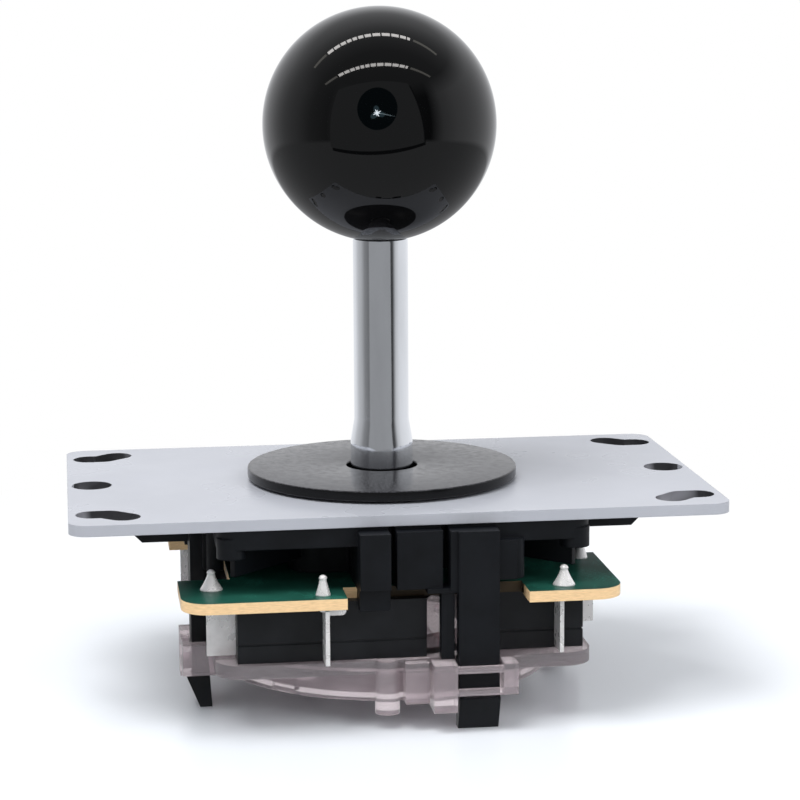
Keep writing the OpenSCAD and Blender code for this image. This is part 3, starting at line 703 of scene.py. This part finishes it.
class LEVER_OT_solder(bpy.types.Operator):
    """Builds the solder joints: turned fillets that rise hollow to the pin and end in a bead.
    With t from 0 at the foot to 1 at the bead, r = neck + (foot - neck) (1 - t) ^ 1.3"""

    bl_idname = "lever.solder"
    bl_label = "Solder joints"

    def execute(self, context):
        joined = bmesh.new()
        for centre, foot, top, low in joint_places("solder_joints"):
            bead = min(sizes().bead_radius, 0.55 * foot)
            neck = 0.8 * bead
            t = np.linspace(0, 1, 14)
            rise = low + (top - bead - low) * t
            radius = neck + (0.98 * foot - neck) * (1 - t) ** 1.3
            cap = arc((0, top - bead), bead, 0, 90, 7)
            cap[-1, 0] = 0
            profile = np.vstack([[(0, low)], np.stack([radius, rise], axis=-1), cap[1:]])
            piece = revolve("solder_joint", profile, 32, centre[:2])
            joined.from_mesh(piece.data)
            bpy.data.objects.remove(piece)
        mesh = bpy.data.meshes.new("solder_fillets")
        joined.to_mesh(mesh)
        joined.free()
        fillets = finish_mesh("solder_fillets", mesh)
        dress(fillets, bright_tin(), "frame", ["solder_joints"])
        return {"FINISHED"}


# The photograph's camera: where it stands, how it is turned, and its lens
CAMERA_PLACE = (-47.07 * MM, -362.77 * MM, 76.03 * MM)
CAMERA_YAW = math.radians(7.70)
CAMERA_PITCH = math.radians(9.93)
CAMERA_ROLL = math.radians(-0.33)
CAMERA_LENS = 109.77
CAMERA_SHIFT = (0.00725, -0.001625)
# The floor: its side, how far from the axis it is fully lit and from where it is plain white, and
# the finish of its lit part, whose darker bluish grey near the lever is painted shade
FLOOR_SIZE = 12.0
FLOOR_FADE_START = 0.056
FLOOR_FADE_END = 0.16
# Painted shade: this darker bluish grey stands for the lever's shadow and reflection on the floor
FLOOR_SHADE_COLOUR = (0.80, 0.83, 0.87)
FLOOR_SOCKETS = {"Roughness": 0.25, "Specular IOR Level": 0.4}
# Lamps that show in no reflection: place, target, width and power
LAMPS = {
    "key_lamp": ((-0.25, -0.15, 0.75), (0, 0, 0.02), 0.45, 6.0),
    "fill_lamp": ((0.5, -0.5, 0.4), (0, 0, 0), 0.5, 2.5),
}
# Ends and width of the two rows of lamps that the ball reflects
STRIP_ROWS = (
    ((-0.38, -0.21, 0.49), (0.22, -0.28, 0.55), 0.034),
    ((-0.35, 0.10, 0.55), (0.23, 0.07, 0.62), 0.040),
)
# Uneven cuts of each row: number, sway and width of the dark gap, as shares of the row
STRIP_CUTS = 12
STRIP_SWAY = 0.03
STRIP_GAP = 0.016
# Dim ends of each row as shares of the row, and their width as a share of its width
DIM_ENDS = ((-0.32, -0.03), (1.03, 1.5))
DIM_WIDTH = 0.8
# Cards that only reflections see: colour and strength of their glow
GLOWS = {
    "sheet_dark": ((0.05, 0.05, 0.055), 1.0),
    "sheet_grey": ((0.31, 0.315, 0.325), 1.0),
    "lens_dark": ((0.02, 0.04, 0.05), 1.0),
    "strip_glow": ((1, 0.97, 0.95), 11.0),
    "strip_dim": ((1, 0.97, 0.9), 1.6),
    "star_glow": ((0.85, 0.93, 1.0), 26.0),
    "star_tail": ((0.7, 0.9, 1.0), 6.0),
    "star_halo": ((0.35, 0.6, 0.72), 1.3),
}
# Corners of the grey sheet in front of the lever, and how its dark rim stands out past it
SHEET = ((-0.42, -0.31, 0.39), (0.21, -0.42, 0.45), (0.36, -0.48, -0.09), (-0.49, -0.33, -0.13))
SHEET_RIM_GROWTH = 1.03
SHEET_RIM_SHIFT = (0.022, 0, -0.03)
# The dark lens and the star in it stand close to the ball, so that the shaft doesn't mirror them
LENS_FACING = (0.12, 1.0, 0.0)
LENS_PLACE = (-0.0094, -0.0571, 0.0729)
LENS_RADII = (0.018, 0.0205)
HALO_PLACE = (-0.0092, -0.0562, 0.0664)
TAIL_PLACE = (-0.0091, -0.0557, 0.0663)
STAR_PLACE = (-0.0091, -0.0552, 0.0661)
# The studio's even light for all but mirror reflections
EVEN_COLOUR = (0.95, 0.97, 1.0)
EVEN_STRENGTH = 0.62
# What reflections see of the studio: levels from the front to the back above the horizon, one
# level below it, and the heights between which each gives way to the bands near the horizon
ABOVE_LEVELS = ((0.0, 0.18), (0.4, 0.22), (0.55, 0.34), (0.75, 0.62))
BELOW_LEVELS = ((0.0, 0.42),)
ABOVE_FROM, ABOVE_TO = 0.45, 0.65
BELOW_FROM, BELOW_TO = -0.19, -0.24
# Bands near the horizon: direction round the lever in degrees, 0 towards the front, and level
HORIZON_BANDS = (
    (-180, 0.95), (-137, 0.82), (-115, 0.56), (-95, 0.44), (-78, 0.24), (-60, 0.17), (-45, 0.36),
    (20, 0.40), (32, 0.06), (44, 0.05), (58, 0.55), (75, 0.74), (95, 0.80), (137, 0.9), (180, 0.95),
)


def add_camera():
    """Turns the camera by its yaw, pitch and roll: right, up and back are its columns."""
    ahead = Vector((math.sin(CAMERA_YAW), math.cos(CAMERA_YAW), 0))
    forward = ahead * math.cos(CAMERA_PITCH) - Vector((0, 0, math.sin(CAMERA_PITCH)))
    level = Vector((math.cos(CAMERA_YAW), -math.sin(CAMERA_YAW), 0))
    upright = level.cross(forward)
    right = level * math.cos(CAMERA_ROLL) + upright * math.sin(CAMERA_ROLL)
    up = upright * math.cos(CAMERA_ROLL) - level * math.sin(CAMERA_ROLL)
    data = bpy.data.cameras.new("camera")
    data.sensor_width = 36.0
    data.lens = CAMERA_LENS
    data.shift_x, data.shift_y = CAMERA_SHIFT
    data.clip_start, data.clip_end = 0.01, 100.0
    camera = bpy.data.objects.new("camera", data)
    turn = Matrix((right, up, -forward)).transposed().to_4x4()
    camera.matrix_world = Matrix.Translation(CAMERA_PLACE) @ turn
    bpy.context.scene.collection.objects.link(camera)
    bpy.context.scene.camera = camera


def glow_material(name):
    """Even light of the colour and strength that GLOWS gives the name."""
    colour, strength = GLOWS[name]
    material = bpy.data.materials.new(name)
    material.use_nodes = True
    tree = material.node_tree
    tree.nodes.clear()
    glow = tree.nodes.new("ShaderNodeEmission")
    glow.inputs["Color"].default_value = (*colour, 1)
    glow.inputs["Strength"].default_value = strength
    out = tree.nodes.new("ShaderNodeOutputMaterial")
    tree.links.new(glow.outputs[0], out.inputs["Surface"])
    return material


def card(name, centre, right, up, outline, material):
    """A flat stage card that only reflections see. The outline is in metres along right and up:
    centre + x right + y up, with both directions made unit and up made square to right."""
    right, up = np.array(right, float), np.array(up, float)
    right /= np.linalg.norm(right)
    up -= right * (up @ right)
    up /= np.linalg.norm(up)
    points = np.array(centre) + outline[:, :1] * right + outline[:, 1:] * up
    return stage_mesh(name, points, material)


def stage_mesh(name, points, material):
    """One face through the points, seen by reflections alone."""
    mesh = bpy.data.meshes.new(name)
    mesh.from_pydata(points.tolist(), [], [list(range(len(points)))])
    mesh.materials.append(material)
    piece = bpy.data.objects.new(name, mesh)
    bpy.context.scene.collection.objects.link(piece)
    piece.visible_camera = False
    piece.visible_diffuse = False
    piece.visible_shadow = False
    piece.visible_transmission = False
    piece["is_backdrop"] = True
    return piece


def strip_pieces():
    """Two rows of lamps: between its ends each row is cut into uneven lit pieces with dark gaps
    between them, and past each end it goes on dimly. Yields start, stop, width and whether lit."""
    for start, stop, wide in STRIP_ROWS:
        start, stop = np.array(start), np.array(stop)
        row = stop - start
        cuts = np.linspace(0, 1, STRIP_CUTS + 1)
        cuts[1:-1] += STRIP_SWAY * np.sin(7.0 * np.arange(1, STRIP_CUTS))
        for low, high in zip(cuts[:-1], cuts[1:]):
            yield start + row * low, start + row * (high - STRIP_GAP), wide, True
        for low, high in DIM_ENDS:
            yield start + row * low, start + row * high, DIM_WIDTH * wide, False


def rectangle(width, height):
    return np.array([(-1, -1), (1, -1), (1, 1), (-1, 1)]) * (width / 2, height / 2)


def star_outlines():
    """Outlines of halo, tail and star: points r (cos a, sin a), in metres, with
    halo r = 4.5 + 2 cos(3a + 1), tail r = 0.5 + 15.5 max(0, cos(a + 0.2)) ^ 900 and
    star r = 1.2 + 2.2 |cos(2a - 0.9)| ^ 14 + 1.4 |cos(2a + 0.3)| ^ 20 in millimetres."""
    a = np.radians(np.arange(0, 360, 3))
    halo = 4.5 + 2.0 * np.cos(3 * a + 1)
    tail = 0.5 + 15.5 * np.maximum(0, np.cos(a + 0.2)) ** 900
    star = 1.2 + 2.2 * np.abs(np.cos(2 * a - 0.9)) ** 14 + 1.4 * np.abs(np.cos(2 * a + 0.3)) ** 20
    outward = np.stack([np.cos(a), np.sin(a)], axis=-1)
    return [MM * radius[:, None] * outward for radius in (halo, tail, star)]


def add_floor():
    """A white floor: lit and shadowed near the lever, where its darker bluish grey is painted
    shade, fading to plain white further out. Reflections pass through it to the studio's lower
    part."""
    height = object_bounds()[0].z
    mesh = bpy.data.meshes.new("floor")
    corners = rectangle(FLOOR_SIZE, FLOOR_SIZE)
    mesh.from_pydata(np.column_stack([corners, np.full(4, height)]).tolist(), [], [[0, 1, 2, 3]])
    material = bpy.data.materials.new("floor_white")
    material.use_nodes = True
    tree = material.node_tree
    nodes, links = tree.nodes, tree.links
    shader = nodes["Principled BSDF"]
    # Painted shade: the near floor's darker bluish grey stands for the lever's shadow and
    # reflection
    shader.inputs["Base Color"].default_value = (*FLOOR_SHADE_COLOUR, 1)
    for socket, value in FLOOR_SOCKETS.items():
        shader.inputs[socket].default_value = value
    place = nodes.new("ShaderNodeTexCoord")
    length = nodes.new("ShaderNodeVectorMath")
    length.operation = "LENGTH"
    links.new(place.outputs["Object"], length.inputs[0])
    fade = nodes.new("ShaderNodeMapRange")
    fade.interpolation_type = "SMOOTHSTEP"
    fade.inputs["From Min"].default_value = FLOOR_FADE_START
    fade.inputs["From Max"].default_value = FLOOR_FADE_END
    links.new(length.outputs["Value"], fade.inputs["Value"])
    glow = nodes.new("ShaderNodeEmission")
    mix = nodes.new("ShaderNodeMixShader")
    links.new(fade.outputs["Result"], mix.inputs["Fac"])
    links.new(shader.outputs[0], mix.inputs[1])
    links.new(glow.outputs[0], mix.inputs[2])
    hidden, clear = nodes.new("ShaderNodeMixShader"), nodes.new("ShaderNodeBsdfTransparent")
    links.new(nodes.new("ShaderNodeLightPath").outputs["Is Glossy Ray"], hidden.inputs["Fac"])
    links.new(mix.outputs[0], hidden.inputs[1])
    links.new(clear.outputs[0], hidden.inputs[2])
    links.new(hidden.outputs[0], nodes["Material Output"].inputs["Surface"])
    mesh.materials.append(material)
    floor = bpy.data.objects.new("floor", mesh)
    bpy.context.scene.collection.objects.link(floor)
    floor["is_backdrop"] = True


def add_world():
    """White to the camera and to clear plastic. Reflections see a studio: near the horizon it has
    upright bands from white behind the lever to dark on its right, above it grows from dark grey in
    front to light grey behind, and below it is an even grey. Other light comes in evenly."""
    world = bpy.data.worlds.new("studio")
    bpy.context.scene.world = world
    world.use_nodes = True
    tree = world.node_tree
    nodes, links = tree.nodes, tree.links
    nodes.clear()
    direction = nodes.new("ShaderNodeTexCoord")
    split = nodes.new("ShaderNodeSeparateXYZ")
    links.new(direction.outputs["Generated"], split.inputs["Vector"])

    def operate(operation, first, second):
        node = nodes.new("ShaderNodeMath")
        node.operation = operation
        links.new(first, node.inputs[0])
        if isinstance(second, (int, float)):
            node.inputs[1].default_value = second
        else:
            links.new(second, node.inputs[1])
        return node.outputs["Value"]

    def share(value, low, high):
        node = nodes.new("ShaderNodeMapRange")
        node.inputs["From Min"].default_value = low
        node.inputs["From Max"].default_value = high
        links.new(value, node.inputs["Value"])
        return node.outputs["Result"]

    def ramp(value, stops):
        node = nodes.new("ShaderNodeValToRGB")
        elements = node.color_ramp.elements
        elements.remove(elements[1])
        for number, (place, level) in enumerate(stops):
            element = elements[0] if number == 0 else elements.new(place)
            element.position = place
            element.color = (level, level * 1.01, level * 1.04, 1)
        links.new(value, node.inputs["Fac"])
        return node.outputs["Color"]

    def blend(factor, first, second):
        node = nodes.new("ShaderNodeMix")
        node.data_type = "RGBA"
        links.new(factor, node.inputs["Factor"])
        links.new(first, node.inputs[6])
        links.new(second, node.inputs[7])
        return node.outputs[2]

    def background(colour, strength):
        node = nodes.new("ShaderNodeBackground")
        if isinstance(colour, tuple):
            node.inputs["Color"].default_value = (*colour, 1)
        else:
            links.new(colour, node.inputs["Color"])
        node.inputs["Strength"].default_value = strength
        return node.outputs["Background"]

    def choose(factor, first, second):
        node = nodes.new("ShaderNodeMixShader")
        for socket, value in zip(node.inputs, (factor, first, second)):
            links.new(value, socket)
        return node.outputs["Shader"]

    turn = operate("ARCTAN2", split.outputs["X"], operate("MULTIPLY", split.outputs["Y"], -1))
    around = share(turn, -math.pi, math.pi)
    bands = ramp(around, [((degrees + 180) / 360, level) for degrees, level in HORIZON_BANDS])
    above = ramp(share(split.outputs["Y"], -1, 1), ABOVE_LEVELS)
    below = ramp(split.outputs["Z"], BELOW_LEVELS)
    levels = blend(share(split.outputs["Z"], ABOVE_FROM, ABOVE_TO), bands, above)
    levels = blend(share(split.outputs["Z"], BELOW_FROM, BELOW_TO), levels, below)
    rays = nodes.new("ShaderNodeLightPath").outputs
    even = background(EVEN_COLOUR, EVEN_STRENGTH)
    lit = choose(rays["Is Glossy Ray"], even, background(levels, 1))
    seen = operate("MAXIMUM", rays["Is Camera Ray"], rays["Is Transmission Ray"])
    out = nodes.new("ShaderNodeOutputWorld")
    links.new(choose(seen, lit, background((1, 1, 1), 1)), out.inputs["Surface"])


def add_lamp(name, place, target, width, energy):
    """A square soft lamp that shines from place to target and shows in no reflection."""
    data = bpy.data.lights.new(name, "AREA")
    data.size = width
    data.energy = energy
    lamp = bpy.data.objects.new(name, data)
    aim = (Vector(target) - Vector(place)).to_track_quat("-Z", "Y").to_matrix().to_4x4()
    lamp.matrix_world = Matrix.Translation(place) @ aim
    lamp.visible_glossy = False
    bpy.context.scene.collection.objects.link(lamp)


class LEVER_OT_stage(bpy.types.Operator):
    """Builds the floor, the studio light, the reflected cards and the camera"""

    bl_idname = "lever.stage"
    bl_label = "Stage"

    def execute(self, context):
        add_camera()
        add_world()
        add_floor()
        for name, lamp in LAMPS.items():
            add_lamp(name, *lamp)
        glow = {name: glow_material(name) for name in GLOWS}
        sheet = np.array(SHEET)
        stage_mesh("card_rim", sheet * SHEET_RIM_GROWTH + SHEET_RIM_SHIFT, glow["sheet_dark"])
        stage_mesh("card_front", sheet, glow["sheet_grey"])
        side, up = np.cross(LENS_FACING, (0, 0, 1)), (0, 0, 1)
        lens = arc((0, 0), 1, 0, 350, 48) * LENS_RADII
        card("card_centre", LENS_PLACE, side, up, lens, glow["lens_dark"])
        halo, tail, star = star_outlines()
        card("star_halo", HALO_PLACE, side, up, halo, glow["star_halo"])
        card("star_tail", TAIL_PLACE, side, up, tail, glow["star_tail"])
        card("card_star", STAR_PLACE, side, up, star, glow["star_glow"])
        for start, stop, wide, lit in strip_pieces():
            outline = rectangle(np.linalg.norm(stop - start), wide)
            light = glow["strip_glow" if lit else "strip_dim"]
            card("strip", (start + stop) / 2, stop - start, (0, 1, 0), outline, light)
        context.scene.view_settings.view_transform = "Standard"
        return {"FINISHED"}


OPERATORS = (
    LEVER_OT_ball_top, LEVER_OT_shaft, LEVER_OT_washers, LEVER_OT_frame_finishes,
    LEVER_OT_spring, LEVER_OT_solder, LEVER_OT_stage,
)


class LEVER_PT_panel(bpy.types.Panel):
    """Lists the pieces of the lever with their sizes and colours"""

    bl_idname = "LEVER_PT_panel"
    bl_label = "Joystick lever"
    bl_space_type = "VIEW_3D"
    bl_region_type = "UI"
    bl_category = "Lever"

    def draw(self, context):
        for operator in OPERATORS:
            self.layout.operator(operator.bl_idname)
        for group in (context.scene.lever_sizes, context.scene.lever_colours):
            for name in group.__annotations__:
                self.layout.prop(group, name)


CLASSES = (LeverSizes, LeverColours, *OPERATORS, LEVER_PT_panel)


def register():
    for entry in CLASSES:
        bpy.utils.register_class(entry)
    bpy.types.Scene.lever_sizes = bpy.props.PointerProperty(type=LeverSizes)
    bpy.types.Scene.lever_colours = bpy.props.PointerProperty(type=LeverColours)


def unregister():
    del bpy.types.Scene.lever_sizes
    del bpy.types.Scene.lever_colours
    for entry in reversed(CLASSES):
        bpy.utils.unregister_class(entry)


def main():
    register()
    for operator in OPERATORS:
        group, name = operator.bl_idname.split(".")
        getattr(getattr(bpy.ops, group), name)()
    boxes = {"cad": CAD_BOX, "visual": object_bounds()}
    {key: [list(low), list(high)] for key, (low, high) in boxes.items()}


if __name__ == "__main__":
    main()
